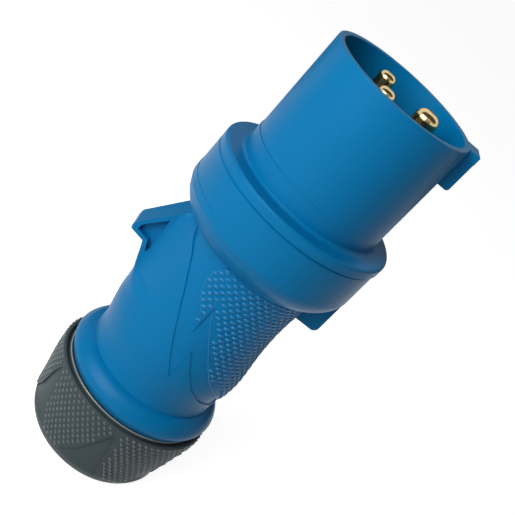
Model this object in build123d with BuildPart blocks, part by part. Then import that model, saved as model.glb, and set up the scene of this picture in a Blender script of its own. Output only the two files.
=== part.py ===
"""Industrial pin and sleeve plug, 16 A, three contacts, as one assembly of its separate pieces.

The plug stands upright on the flat rear face of its gland nut. The origin is the centre of that
face, +Z runs up the plug's axis to the mouth, and +X is the side of the key and the earth pin.
Profiles are drawn in the XZ plane as (radius, height) and turned about Z. All sizes are mm.
"""
from build123d import *
from math import cos, radians, sin
import os

# Lengths along the axis, from the cable end to the mouth
nut_height = 24.8
nut_to_shoulder = 0.7
shoulder_height = 8.0
grip_length = 48.5
collar_height = 19.7
seam_gap = 0.3
flange_thickness = 3.0
base_sink = 1.0
base_thickness = 3.0
sleeve_depth = 38.25

# Clearances that pieces share
turn_clearance = 0.3
seat_clearance = 0.2
thread_clearance = 0.05
head_clearance = 0.1

# Contact pins
contact_circle_radius = 8.93
phase_pin_radius = 2.5
earth_pin_radius = 3.5
phase_pin_recess = 0.8
earth_pin_recess = 0.0
pin_guide_step = 0.3
pin_tip_share = 0.5
pin_flange_overhang = 2.0
pin_flange_thickness = 2.2
terminal_overhang = 1.3
terminal_length = 18.0
wire_hole_radius = 2.0
wire_hole_depth = 11.0
earth_angle = 0
line_angle = 120
neutral_angle = 240

# Terminal screws
terminal_screw_depth = 13.0
terminal_screw_radius = 1.75
terminal_screw_tip = 1.1
terminal_head_radius = 2.9
terminal_head_height = 1.8
screw_slot_width = 0.8
screw_slot_depth = 0.9

# Contact carrier and its cover
carrier_wall = 2.87
carrier_disc_thickness = 5.5
carrier_height = 21.0
carrier_edge = 0.5
carrier_screw_radius = 1.3
carrier_screw_head_radius = 2.3
carrier_screw_head_height = 1.6
carrier_screw_bite = 2.2
carrier_screw_angle = 60
cover_thickness = 3.0
cover_edge = 0.8
cover_funnel_radius = 3.2
cover_screw_length = 8.0

# Front sleeve
sleeve_radius = 22.0
sleeve_wall = 1.9
mouth_edge = 0.3
flange_overhang = 3.75
flange_edge = 0.8
root_round = 1.2
root_band_height = 7.0
root_band_offset = 0.16
spigot_wall = 2.45
spigot_length = 10.5

# Key on the sleeve
key_half_width = 3.0
key_height = 3.3
key_length = 12.2
key_head_length = 2.6
key_head_step = 0.3
key_corner = 1.0

# Housing seal in its groove on the spigot
seal_section_radius = 0.7
seal_below_flange = 3.3

# Bayonet between spigot and collar
bayonet_count = 3
bayonet_turn = 30.0
lug_sweep = 24.0
lug_angle = 60.0
lug_height = 2.5
lug_projection = 1.25
lug_lift = 1.0
stop_angle = 1.0

# Handle collar; the underside runs through (inset from the collar, drop from the seam)
collar_step = 0.3
collar_offset = 0.3
collar_edge = 0.4
band_inset = 0.05
band_offset = 0.5
band_drop = 9.4
collar_ledge_drop = 0.5
collar_ledge_width = 1.5
underside_points = [(5.1, 18.5), (3.0, 16.7), (1.3, 14.5), (0.3, 11.7)]

# Handle chamber
chamber_clearance = 0.8
chamber_top_drop = 21.2
chamber_floor_lift = 7.5

# Handle shoulder, as (beyond the rim, above the rim)
rim_overhang = 2.7
shoulder_offset = 0.4
shoulder_points = [(1.2, 1.7), (1.7, 3.7), (1.0, 5.5), (-0.3, 7.1)]
crease_inset = 2.2

# Handle grip, as (wall outside the chamber, share of the grip's length)
grip_offset = 0.2
grip_points = [(3.5, 0.103), (4.3, 0.237), (3.3, 0.464), (2.4, 0.691), (2.7, 0.897)]
grip_top_wall = 3.3

# Recessed panel on each side of the grip, as (degrees from the earth side, share of the length)
panel_depth = 0.35
panel_outline = [(158, 0.938), (152.3, 0.911), (138.5, 0.876), (125, 0.732), (110, 0.559),
                 (85.3, 0.262), (85, 0.476), (75, 0.351), (65, 0.258), (50, 0.175), (25, 0.103),
                 (25, 0.167), (40, 0.237), (60, 0.373), (70, 0.491), (85, 0.67), (94.2, 0.773),
                 (94.2, 0.567), (106.5, 0.728), (115.1, 0.858), (113.5, 0.936), (107.4, 1.0),
                 (104, 1.029), (158, 1.029)]
prism_step = 15.0
prism_overlap = 1.1

# Nose on the 12 o'clock side and its pockets, as (beyond the grip, drop from the seam)
nose_profile = [(-2.2, 21.9), (2.2, 21.9), (10.8, 33.4), (11.1, 35.5), (6.2, 36.4), (1.4, 48.2),
                (-2.2, 51.7)]
nose_root_half_width = 5.0
nose_tip_half_width = 4.5
nose_flare = 3.5
nose_tip_round = 0.8
pocket_profile = [(9.2, 34.5), (9.0, 32.7), (3.9, 26.3), (3.2, 37.9), (3.9, 38.5), (5.1, 35.3)]
pocket_depth = 2.4

# Lug behind the collar on the 6 o'clock side
rear_lug_half_width = 5.0
rear_lug_drop = 25.8
rear_lug_inset = 0.6
rear_lug_corner = 1.8

# Neck and gland ledge of the handle
neck_step = 0.6
neck_wall = 2.4
neck_lift = 1.2
ledge_drop = 2.8
ledge_thickness = 3.0
ledge_radius = 13.0

# Grommet in two layers, slip ring, support ring and clamping cage
grommet_bore_radius = 6.5
grommet_inner_wall = 3.1
grommet_edge = 1.0
slip_ring_step = 0.9
slip_ring_wall = 1.8
slip_ring_height = 5.1
cage_wall = 2.0
cage_ring_height = 3.0
cage_sink = 0.2
cage_tip_width = 0.4
cage_tip_taper = 1.4
finger_count = 8
finger_gap = 2.4
support_ring_thickness = 1.6

# Gland nut; its side runs through (inset from the front radius, share of the height)
nut_hole_step = 0.5
nut_floor = 3.5
nut_cone_height = 4.9
nut_cone_gap = 0.7
nut_cone_inset = 0.6
nut_wall = 4.85
nut_edge = 0.3
nut_rim_width = 0.9
nut_groove_width = 1.0
nut_groove_depth = 1.2
nut_lip_width = 0.4
nut_lip_height = 0.5
nut_bottom_inset = 5.25
nut_corner = (3.65, 0.089)
nut_points = [(2.6, 0.222), (2.0, 0.391), (1.25, 0.565), (0.35, 0.806)]

# Recessed fins of the nut, as (degrees from the earth side, share of the height)
fin_count = 6
fin_depth = 0.5
fin_outline = [(-86, 0.907), (-88.8, 0.806), (-95.5, 0.504), (-98, 0.403), (-107, 0.202),
               (-110, 0.1), (-110, -0.05), (-71.5, -0.05), (-71.5, 0.02), (-76.5, 0.202),
               (-80, 0.403), (-84.3, 0.806)]

# Heights that follow from the sizes above
shoulder_bottom = nut_height + nut_to_shoulder
crease_height = shoulder_bottom + shoulder_height
grip_top = crease_height + grip_length
seam = grip_top + collar_height
flange_bottom = seam + seam_gap
flange_top = flange_bottom + flange_thickness
base_top = flange_top - base_sink
base_bottom = base_top - base_thickness
mouth = base_top + sleeve_depth
spigot_bottom = flange_bottom - spigot_length
seal_height = flange_bottom - seal_below_flange
lug_bottom = spigot_bottom + lug_lift
ledge_height = spigot_bottom - collar_ledge_drop
band_top = seam - band_drop
carrier_disc_bottom = base_bottom - carrier_disc_thickness
carrier_bottom = base_bottom - carrier_height
cover_bottom = carrier_bottom - cover_thickness
pin_shelf = base_bottom - pin_flange_thickness
terminal_bottom = base_bottom - terminal_length
terminal_screw_height = base_bottom - terminal_screw_depth
nut_cone_top = nut_floor + nut_cone_height
grommet_bottom = nut_floor + slip_ring_height
cage_tip = nut_cone_top - cage_sink
neck_bottom = nut_cone_top + neck_lift
ledge_bottom = nut_height - ledge_drop
support_ring_bottom = ledge_bottom - support_ring_thickness

# Radii that follow, from the contact circle outwards
carrier_body_radius = contact_circle_radius + earth_pin_radius + terminal_overhang + carrier_wall
carrier_screw_circle_radius = carrier_body_radius + carrier_screw_head_radius + head_clearance
spigot_bore = carrier_screw_circle_radius + carrier_screw_head_radius + turn_clearance
spigot_radius = spigot_bore + spigot_wall
lug_radius = spigot_radius + lug_projection
channel_radius = lug_radius + turn_clearance
seal_centre_radius = spigot_radius - seal_section_radius
collar_bore = spigot_radius + turn_clearance
flange_radius = spigot_radius + flange_overhang
collar_radius = flange_radius - collar_step
sleeve_bore = sleeve_radius - sleeve_wall
key_radius = sleeve_radius + key_height
chamber_radius = carrier_body_radius + chamber_clearance
grip_top_radius = chamber_radius + grip_top_wall
grip_radius = chamber_radius + grip_points[-1][0]
neck_bore = chamber_radius + neck_step
neck_radius = neck_bore + neck_wall
rim_radius = neck_radius + rim_overhang
crease_radius = rim_radius - crease_inset
cage_radius = neck_bore - seat_clearance
grommet_radius = cage_radius - cage_wall - seat_clearance
grommet_split_radius = grommet_bore_radius + grommet_inner_wall
slip_ring_radius = grommet_split_radius + slip_ring_step
slip_ring_outer = slip_ring_radius + slip_ring_wall
nut_hole_radius = slip_ring_radius - nut_hole_step
nut_cone_bottom_radius = slip_ring_outer + nut_cone_gap
nut_cone_top_radius = cage_radius - nut_cone_inset
nut_bore = neck_radius + turn_clearance
nut_front_radius = nut_bore + nut_wall

# Outlines in mm, and the three terminals as (angle, pin radius, recess of the tip)
underside_line = [(collar_radius - inset, seam - drop) for inset, drop in underside_points]
shoulder_line_points = [(rim_radius + r, shoulder_bottom + z) for r, z in shoulder_points]
grip_line_points = [(chamber_radius + wall, crease_height + share * grip_length)
                    for wall, share in grip_points]
panel_points = [(a, crease_height + share * grip_length) for a, share in panel_outline]
nose_points = [(-grip_radius - r, seam - drop) for r, drop in nose_profile]
pocket_points = [(-grip_radius - r, seam - drop) for r, drop in pocket_profile]
nut_line_points = [(nut_front_radius - inset, share * nut_height) for inset, share in nut_points]
fin_points = [(a, share * nut_height) for a, share in fin_outline]
terminals = [(earth_angle, earth_pin_radius, earth_pin_recess),
             (line_angle, phase_pin_radius, phase_pin_recess),
             (neutral_angle, phase_pin_radius, phase_pin_recess)]


def turned(points, centre=0.0, mode=Mode.ADD):
    """Turn a closed outline of (radius, height) points about a vertical axis at x = centre."""
    with BuildSketch(Plane.XZ.move(Location((centre, 0, 0)))) as profile:
        with BuildLine():
            Polyline(*points, close=True)
        make_face()
    revolve(profile.sketch, axis=Axis((centre, 0, 0), (0, 0, 1)), mode=mode)


def ring_sector(inner, outer, start, sweep):
    """Draw a sector of a ring in the sketch that is open; angles are in degrees."""
    ends = [(cos(radians(start + a)), sin(radians(start + a))) for a in (0, sweep)]
    with BuildLine() as outline:
        CenterArc((0, 0), inner, start, sweep)
        CenterArc((0, 0), outer, start, sweep)
        for x, y in ends:
            Line((inner * x, inner * y), (outer * x, outer * y))
    make_face(outline.edges())


def radial_plane(angle, distance=0.0, height=0.0):
    """A plane that faces outwards at this angle, this far from the axis, with +Z as its y."""
    x, y = cos(radians(angle)), sin(radians(angle))
    return Plane(origin=(distance * x, distance * y, height), x_dir=(-y, x, 0), z_dir=(x, y, 0))


def wrapped_prisms(outline, radius, step):
    """Fill the part that is open with prisms that wrap an outline of (angle, height) points.

    Each prism carries the strip of the outline within its own sector, out past the radius.
    """
    first = min(a for a, _ in outline)
    last = max(a for a, _ in outline)
    count = max(1, round((last - first) / step))
    width = (last - first) / count
    chord = 2 * radius * sin(radians(width / 2))
    for i in range(count):
        middle = first + (i + 0.5) * width
        with BuildSketch(radial_plane(middle, radius * 0.7)) as strip:
            with BuildLine():
                Polyline(*[((a - middle) * chord / width, h) for a, h in outline], close=True)
            make_face()
            Rectangle(prism_overlap * chord, 4 * mouth, mode=Mode.INTERSECT)
        extrude(strip.sketch, amount=radius * 0.45)


def contact_pin(radius, recess):
    """A turned brass pin with its flange, its terminal body and the wire hole, on the axis."""
    turned([
        (0, terminal_bottom), (radius + terminal_overhang, terminal_bottom),
        (radius + terminal_overhang, pin_shelf), (radius + pin_flange_overhang, pin_shelf),
        (radius + pin_flange_overhang, base_bottom), (radius + pin_guide_step, base_bottom),
        (radius + pin_guide_step, base_top), (radius, base_top), (radius, mouth - recess),
        (0, mouth - recess)])


# Front sleeve: one moulding with mouth, key, flange, base wall and bayonet spigot
with BuildPart() as front_sleeve:
    turned([
        (0, base_bottom), (spigot_bore, base_bottom), (spigot_bore, spigot_bottom),
        (spigot_radius, spigot_bottom), (spigot_radius, flange_bottom),
        (flange_radius, flange_bottom), (flange_radius, flange_top), (sleeve_radius, flange_top),
        (sleeve_radius, mouth), (sleeve_bore, mouth), (sleeve_bore, base_top), (0, base_top)])
    rings = front_sleeve.edges().filter_by(GeomType.CIRCLE)
    fillet(rings.group_by(Axis.Z)[-1], mouth_edge)
    at_flange = front_sleeve.edges().filter_by(GeomType.CIRCLE).filter_by(
        lambda e: abs(e.center().Z - flange_top) < 0.01).sort_by(SortBy.RADIUS)
    fillet(at_flange[-1], flange_edge)
    fillet(at_flange[0], root_round)

    # Slightly thicker root of the sleeve, which fades out towards the key's side
    with BuildSketch(Plane.XY.offset(flange_top - flange_edge)):
        with Locations((-root_band_offset, 0)):
            Circle(sleeve_radius + root_band_offset / 2)
        Circle(sleeve_radius - sleeve_wall / 2, mode=Mode.SUBTRACT)
    extrude(amount=root_band_height)

    # Key along the sleeve's outside, with a slightly wider head at the mouth
    with BuildSketch(Plane.XZ) as key_side:
        with BuildLine():
            Polyline(
                (sleeve_bore + mouth_edge, mouth), (key_radius, mouth),
                (key_radius, mouth - key_length), (sleeve_bore + mouth_edge, mouth - key_length),
                close=True)
        make_face()
        fillet(key_side.vertices().group_by(Axis.X)[-1].sort_by(Axis.Y)[0], key_corner)
    extrude(amount=key_half_width, both=True)
    with BuildSketch(Plane.XY.offset(mouth - key_head_length)):
        with Locations(((sleeve_bore + mouth_edge + key_radius) / 2, 0)):
            Rectangle(key_radius - sleeve_bore - mouth_edge, 2 * (key_half_width + key_head_step))
    extrude(amount=key_head_length)
    key_edges = front_sleeve.edges().filter_by(Axis.Y).filter_by(
        lambda e: e.center().Z > mouth - 0.01 and e.center().X > key_radius - 0.01)
    fillet(key_edges, mouth_edge)

    # Bayonet lugs on the spigot and the groove for the housing seal
    for i in range(bayonet_count):
        with BuildSketch(Plane.XY.offset(lug_bottom)):
            ring_sector(spigot_radius - spigot_wall / 2, lug_radius,
                        lug_angle + i * 360 / bayonet_count - lug_sweep / 2, lug_sweep)
        extrude(amount=lug_height)
    turned([
        (seal_centre_radius - seal_section_radius, seal_height - 1.2 * seal_section_radius),
        (flange_radius, seal_height - 1.2 * seal_section_radius),
        (flange_radius, seal_height + 1.2 * seal_section_radius),
        (seal_centre_radius - seal_section_radius, seal_height + 1.2 * seal_section_radius)],
        mode=Mode.SUBTRACT)

    # Holes in the base wall for the pins and the carrier screws
    for angle, radius, recess in terminals:
        with BuildSketch(Plane.XY.offset(base_bottom)):
            with PolarLocations(contact_circle_radius, 1, start_angle=angle):
                Circle(radius + pin_guide_step + thread_clearance)
        extrude(amount=base_thickness, mode=Mode.SUBTRACT)
    with BuildSketch(Plane.XY.offset(base_bottom)):
        with PolarLocations(carrier_screw_circle_radius, 3, start_angle=carrier_screw_angle):
            Circle(carrier_screw_radius + thread_clearance)
    extrude(amount=carrier_screw_bite + seat_clearance, mode=Mode.SUBTRACT)

# Housing seal, an O-ring on the spigot
with BuildPart() as housing_seal:
    with BuildSketch(Plane.XZ):
        with Locations((seal_centre_radius, seal_height)):
            Circle(seal_section_radius)
    revolve(axis=Axis.Z)

# Contact pins, each turned on the axis and then moved to its place
placed_pins = []
for angle, radius, recess in terminals:
    with BuildPart() as pin:
        contact_pin(radius, recess)
        fillet(pin.edges().group_by(Axis.Z)[-1], pin_tip_share * radius)
        with BuildSketch(Plane.XY.offset(terminal_bottom)):
            Circle(wire_hole_radius)
        extrude(amount=wire_hole_depth, mode=Mode.SUBTRACT)
        with BuildSketch(Plane.YZ):
            with Locations((0, terminal_screw_height)):
                Circle(terminal_screw_radius + thread_clearance)
        extrude(amount=2 * radius + terminal_overhang, mode=Mode.SUBTRACT)
    with BuildPart() as placed:
        with Locations(Location((0, 0, 0), (0, 0, angle))):
            with Locations((contact_circle_radius, 0, 0)):
                add(pin.part)
    placed_pins.append(placed)
pin_earth, pin_line, pin_neutral = placed_pins

# Terminal screws, one in each pin's side, with slotted heads
with BuildPart() as terminal_screws:
    for angle, radius, recess in terminals:
        seat = contact_circle_radius + radius + terminal_overhang
        with BuildSketch(radial_plane(angle, contact_circle_radius + terminal_screw_tip,
                                      terminal_screw_height)):
            Circle(terminal_screw_radius)
        extrude(amount=seat - contact_circle_radius - terminal_screw_tip)
        with BuildSketch(radial_plane(angle, seat, terminal_screw_height)):
            Circle(terminal_head_radius)
        extrude(amount=terminal_head_height)
        top = radial_plane(angle, seat + terminal_head_height - screw_slot_depth,
                           terminal_screw_height)
        with BuildSketch(top):
            Rectangle(screw_slot_width, 2 * terminal_head_radius)
        extrude(amount=screw_slot_depth, mode=Mode.SUBTRACT)

# Contact carrier: disc behind the base wall and body round the terminals
with BuildPart() as contact_carrier:
    with BuildSketch(Plane.XY.offset(carrier_disc_bottom)):
        Circle(spigot_bore - seat_clearance)
    extrude(amount=carrier_disc_thickness)
    with BuildSketch(Plane.XY.offset(carrier_bottom)):
        Circle(carrier_body_radius)
    extrude(amount=carrier_height - carrier_disc_thickness)
    fillet(contact_carrier.edges().group_by(Axis.Z)[0], carrier_edge)
    for angle, radius, recess in terminals:
        with BuildSketch(Plane.XY.offset(carrier_bottom)):
            with PolarLocations(contact_circle_radius, 1, start_angle=angle):
                Circle(radius + terminal_overhang + thread_clearance)
        extrude(amount=carrier_height, mode=Mode.SUBTRACT)
        with BuildSketch(Plane.XY.offset(pin_shelf)):
            with PolarLocations(contact_circle_radius, 1, start_angle=angle):
                Circle(radius + pin_flange_overhang + thread_clearance)
        extrude(amount=pin_flange_thickness, mode=Mode.SUBTRACT)
        with BuildSketch(radial_plane(angle, contact_circle_radius, terminal_screw_height)):
            Circle(terminal_head_radius + seat_clearance)
        extrude(amount=carrier_body_radius, mode=Mode.SUBTRACT)
    with BuildSketch(Plane.XY.offset(carrier_disc_bottom)):
        with PolarLocations(carrier_screw_circle_radius, 3, start_angle=carrier_screw_angle):
            Circle(carrier_screw_radius + seat_clearance)
    extrude(amount=carrier_disc_thickness, mode=Mode.SUBTRACT)
    with BuildSketch(Plane.XY.offset(carrier_bottom)):
        Circle(carrier_screw_radius + thread_clearance)
    extrude(amount=cover_screw_length, mode=Mode.SUBTRACT)

# Carrier screws, from behind through the disc into the base wall
with BuildPart() as carrier_screws:
    with BuildSketch(Plane.XY.offset(carrier_disc_bottom - carrier_screw_head_height)):
        with PolarLocations(carrier_screw_circle_radius, 3, start_angle=carrier_screw_angle):
            Circle(carrier_screw_head_radius)
    extrude(amount=carrier_screw_head_height)
    with BuildSketch(Plane.XY.offset(carrier_disc_bottom)):
        with PolarLocations(carrier_screw_circle_radius, 3, start_angle=carrier_screw_angle):
            Circle(carrier_screw_radius)
    extrude(amount=carrier_disc_thickness + carrier_screw_bite)
    with BuildSketch(Plane.XY.offset(carrier_disc_bottom - carrier_screw_head_height)):
        with PolarLocations(carrier_screw_circle_radius, 3, start_angle=carrier_screw_angle):
            Rectangle(screw_slot_width, 2 * carrier_screw_head_radius)
    extrude(amount=screw_slot_depth, mode=Mode.SUBTRACT)

# Terminal cover with a funnel for each wire, and its middle screw
with BuildPart() as terminal_cover:
    with BuildSketch(Plane.XY.offset(cover_bottom)):
        Circle(carrier_body_radius)
    extrude(amount=cover_thickness)
    fillet(terminal_cover.edges().group_by(Axis.Z)[0], cover_edge)
    for angle, radius, recess in terminals:
        with BuildSketch(Plane.XY.offset(cover_bottom)):
            with PolarLocations(contact_circle_radius, 1, start_angle=angle):
                Circle(cover_funnel_radius)
        with BuildSketch(Plane.XY.offset(carrier_bottom)):
            with PolarLocations(contact_circle_radius, 1, start_angle=angle):
                Circle(wire_hole_radius)
        loft(mode=Mode.SUBTRACT)
    with BuildSketch(Plane.XY.offset(cover_bottom)):
        Circle(carrier_screw_radius + seat_clearance)
    extrude(amount=cover_thickness, mode=Mode.SUBTRACT)

with BuildPart() as cover_screw:
    with BuildSketch(Plane.XY.offset(cover_bottom - carrier_screw_head_height)):
        Circle(carrier_screw_head_radius)
    extrude(amount=carrier_screw_head_height)
    with BuildSketch(Plane.XY.offset(cover_bottom)):
        Circle(carrier_screw_radius)
    extrude(amount=cover_thickness + cover_screw_length - seat_clearance)
    with BuildSketch(Plane.XY.offset(cover_bottom - carrier_screw_head_height)):
        Rectangle(screw_slot_width, 2 * carrier_screw_head_radius)
    extrude(amount=screw_slot_depth, mode=Mode.SUBTRACT)

# Solid that reaches up to the floor of the recessed grip panels
with BuildPart() as panel_floor:
    with BuildSketch(Plane.XZ.move(Location((grip_offset, 0, 0)))) as floor_side:
        with BuildLine():
            low_line = Spline((crease_radius - panel_depth, crease_height),
                              *[(r - panel_depth, z) for r, z in grip_line_points],
                              (grip_top_radius - panel_depth, grip_top))
            Polyline(low_line @ 1, (grip_top_radius - panel_depth, band_top), (0, band_top),
                     (0, crease_height), low_line @ 0)
        make_face()
    revolve(floor_side.sketch, axis=Axis((grip_offset, 0, 0), (0, 0, 1)))

with BuildPart() as panel_cutter:
    wrapped_prisms(panel_points, max(r for r, _ in grip_line_points), prism_step)
    add(panel_floor.part, mode=Mode.SUBTRACT)
    mirror(about=Plane.XZ)

# Nose on the grip, with flared roots and a pocket in each side
with BuildPart() as nose:
    with BuildSketch(Plane.XY) as nose_plan:
        Circle(grip_radius)
        with BuildLine():
            Polyline((0, nose_root_half_width), (nose_points[1][0], nose_root_half_width),
                     (nose_points[3][0], nose_tip_half_width),
                     (nose_points[3][0], -nose_tip_half_width),
                     (nose_points[1][0], -nose_root_half_width), (0, -nose_root_half_width),
                     close=True)
        make_face()
        corners = nose_plan.vertices().group_by(Axis.X)
        fillet(corners[0], nose_tip_round)
        roots = nose_plan.vertices().filter_by(
            lambda v: abs(v.X) < grip_radius and abs(abs(v.Y) - nose_root_half_width) < 0.01)
        fillet(roots, nose_flare)
    extrude(amount=seam)
    with BuildSketch(Plane.XZ) as nose_side:
        with BuildLine():
            Polyline(*nose_points, close=True)
        make_face()
        fillet(nose_side.vertices().group_by(Axis.X)[0], nose_tip_round)
    extrude(nose_side.sketch, amount=grip_radius, both=True, mode=Mode.INTERSECT)
    for side in (-1, 1):
        with BuildSketch(Plane.XZ.offset(side * (nose_root_half_width - pocket_depth))) as pocket:
            with BuildLine():
                Polyline(*pocket_points, close=True)
            make_face()
        extrude(pocket.sketch, amount=side * grip_radius, mode=Mode.SUBTRACT)

# Space inside the handle: chamber, bore for the spigot, and the gland's bore below the ledge
with BuildPart() as handle_cavity:
    turned([
        (0, neck_bottom), (neck_bore, neck_bottom), (neck_bore, ledge_bottom),
        (ledge_radius, ledge_bottom), (ledge_radius, ledge_bottom + ledge_thickness),
        (chamber_radius, shoulder_bottom + chamber_floor_lift),
        (chamber_radius, seam - chamber_top_drop),
        (collar_bore - collar_ledge_width, ledge_height), (collar_bore, ledge_height),
        (collar_bore, seam), (0, seam)])

    # Bayonet tracks: a slot to turn in and a way in from the top
    for i in range(bayonet_count):
        track_start = lug_angle + i * 360 / bayonet_count - lug_sweep / 2 - stop_angle
        with BuildSketch(Plane.XY.offset(lug_bottom - turn_clearance)):
            ring_sector(collar_bore - turn_clearance, channel_radius, track_start,
                        lug_sweep + bayonet_turn + 2 * stop_angle)
        extrude(amount=lug_height + turn_clearance)
        with BuildSketch(Plane.XY.offset(lug_bottom)):
            ring_sector(collar_bore - turn_clearance, channel_radius, track_start + bayonet_turn,
                        lug_sweep + 2 * stop_angle)
        extrude(amount=seam - lug_bottom)

# Handle shell: one moulding with collar, nose, grip, shoulder and neck
with BuildPart() as handle_shell:
    with BuildSketch(Plane.XZ.move(Location((grip_offset, 0, 0)))) as grip_side:
        with BuildLine():
            grip_line = Spline((crease_radius, crease_height), *grip_line_points,
                               (grip_top_radius, grip_top))
            under_line = Spline((grip_top_radius, grip_top), *underside_line)
            Polyline(under_line @ 1, (underside_line[-1][0], seam - collar_edge),
                     (0, seam - collar_edge), (0, shoulder_bottom),
                     (crease_radius - crease_inset, shoulder_bottom), grip_line @ 0)
        make_face()
    revolve(grip_side.sketch, axis=Axis((grip_offset, 0, 0), (0, 0, 1)))

    # Recessed panels on both sides of the grip
    add(panel_cutter.part, mode=Mode.SUBTRACT)

    # Shoulder, and the neck that carries the gland thread
    with BuildSketch(Plane.XZ.move(Location((shoulder_offset, 0, 0)))) as shoulder_side:
        with BuildLine():
            shoulder_line = Spline((rim_radius, shoulder_bottom), *shoulder_line_points,
                                   (crease_radius, crease_height))
            Polyline(shoulder_line @ 1, (0, crease_height), (0, shoulder_bottom),
                     shoulder_line @ 0)
        make_face()
    revolve(shoulder_side.sketch, axis=Axis((shoulder_offset, 0, 0), (0, 0, 1)))
    turned([(0, neck_bottom), (neck_radius, neck_bottom), (neck_radius, crease_height - 1),
            (0, crease_height - 1)])

    # Collar, a little off the axis towards the nose, with its prouder rear band
    turned([(0, underside_line[-1][1]), (collar_radius, underside_line[-1][1]),
            (collar_radius, seam - collar_edge), (collar_radius - collar_edge, seam), (0, seam)],
           centre=-collar_offset)
    turned([(0, underside_line[1][1]), underside_line[1], underside_line[2],
            (collar_radius - band_inset, underside_line[-1][1]),
            (collar_radius - band_inset, band_top), (0, band_top)], centre=-band_offset)

    # Lug behind the collar
    with BuildSketch(Plane.XZ) as lug_side:
        with BuildLine():
            Polyline((chamber_radius + 1, seam - rear_lug_drop),
                     (collar_radius - rear_lug_inset, seam - rear_lug_drop),
                     (collar_radius - rear_lug_inset, band_top), (chamber_radius + 1, band_top),
                     close=True)
        make_face()
        fillet(lug_side.vertices().group_by(Axis.X)[-1].sort_by(Axis.Y)[0], rear_lug_corner)
    extrude(lug_side.sketch, amount=rear_lug_half_width, both=True)
    add(nose.part)
    add(handle_cavity.part, mode=Mode.SUBTRACT)

# Clamping cage: ring with spring fingers round the grommet
with BuildPart() as clamping_cage:
    turned([
        (cage_radius - cage_wall, cage_tip), (cage_radius - cage_wall + cage_tip_width, cage_tip),
        (cage_radius, cage_tip + cage_tip_taper), (cage_radius, ledge_bottom),
        (cage_radius - cage_wall, ledge_bottom)])
    with BuildSketch(Plane.XY.offset(cage_tip)):
        with PolarLocations(cage_radius - cage_wall / 2, finger_count):
            Rectangle(2 * cage_wall, finger_gap)
    extrude(amount=ledge_bottom - cage_ring_height - cage_tip, mode=Mode.SUBTRACT)

# Support ring between the ledge and the grommet
with BuildPart() as support_ring:
    turned([
        (slip_ring_radius, support_ring_bottom), (grommet_radius, support_ring_bottom),
        (grommet_radius, ledge_bottom), (slip_ring_radius, ledge_bottom)])

# Grommet in two layers; the inner one comes out for a thick cord
with BuildPart() as grommet_outer:
    turned([
        (grommet_split_radius, grommet_bottom), (grommet_radius, grommet_bottom),
        (grommet_radius, support_ring_bottom), (grommet_split_radius, support_ring_bottom)])
    fillet(grommet_outer.edges().group_by(Axis.Z)[0].sort_by(SortBy.RADIUS)[-1], grommet_edge)

with BuildPart() as grommet_inner:
    turned([
        (grommet_bore_radius, grommet_bottom), (grommet_split_radius, grommet_bottom),
        (grommet_split_radius, support_ring_bottom), (grommet_bore_radius, support_ring_bottom)])
    fillet(grommet_inner.edges().group_by(Axis.Z)[0].sort_by(SortBy.RADIUS)[0], grommet_edge)

# Slip ring, which passes the nut's push on to the grommet without turning it
with BuildPart() as slip_ring:
    turned([
        (slip_ring_radius, nut_floor), (slip_ring_outer, nut_floor),
        (slip_ring_outer, grommet_bottom), (slip_ring_radius, grommet_bottom)])

# Gland nut with smooth recessed fins between its raised fields
with BuildPart() as nut_floor_form:
    with BuildSketch(Plane.XZ) as nut_floor_side:
        with BuildLine():
            fin_line = Spline(*[(r - fin_depth, z) for r, z in nut_line_points])
            Polyline(fin_line @ 1, (nut_front_radius - fin_depth, nut_height), (0, nut_height),
                     (0, -nut_height), (nut_line_points[0][0] - fin_depth, -nut_height),
                     fin_line @ 0)
        make_face()
    revolve(nut_floor_side.sketch, axis=Axis.Z)

with BuildPart() as fin_cutter:
    for i in range(fin_count):
        turn = i * 360 / fin_count
        wrapped_prisms([(a + turn, h) for a, h in fin_points], nut_line_points[-1][0], prism_step)
    add(nut_floor_form.part, mode=Mode.SUBTRACT)

with BuildPart() as gland_nut:
    with BuildSketch(Plane.XZ) as nut_side:
        with BuildLine():
            bottom_edge = (nut_front_radius - nut_bottom_inset, 0)
            corner = (nut_front_radius - nut_corner[0], nut_corner[1] * nut_height)
            Line((nut_hole_radius, 0), bottom_edge)
            ThreePointArc(bottom_edge, corner, nut_line_points[0])
            side_line = Spline(*nut_line_points)
            groove_outer = nut_front_radius - nut_rim_width
            groove_inner = groove_outer - nut_groove_width
            lip_inner = groove_inner - nut_lip_width
            lip_top = nut_height + nut_lip_height
            Polyline(
                side_line @ 1, (nut_front_radius, nut_height - nut_edge),
                (nut_front_radius - nut_edge, nut_height), (groove_outer, nut_height),
                (groove_outer, nut_height - nut_groove_depth),
                (groove_inner, nut_height - nut_groove_depth),
                (groove_inner, lip_top - nut_lip_width / 2),
                (groove_inner - nut_lip_width / 2, lip_top), (lip_inner, lip_top),
                (lip_inner, nut_height), (nut_bore, nut_height), (nut_bore, nut_cone_top),
                (nut_cone_top_radius, nut_cone_top), (nut_cone_bottom_radius, nut_floor),
                (nut_hole_radius, nut_floor), (nut_hole_radius, 0))
        make_face()
    revolve(nut_side.sketch, axis=Axis.Z)
    add(fin_cutter.part, mode=Mode.SUBTRACT)

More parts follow.
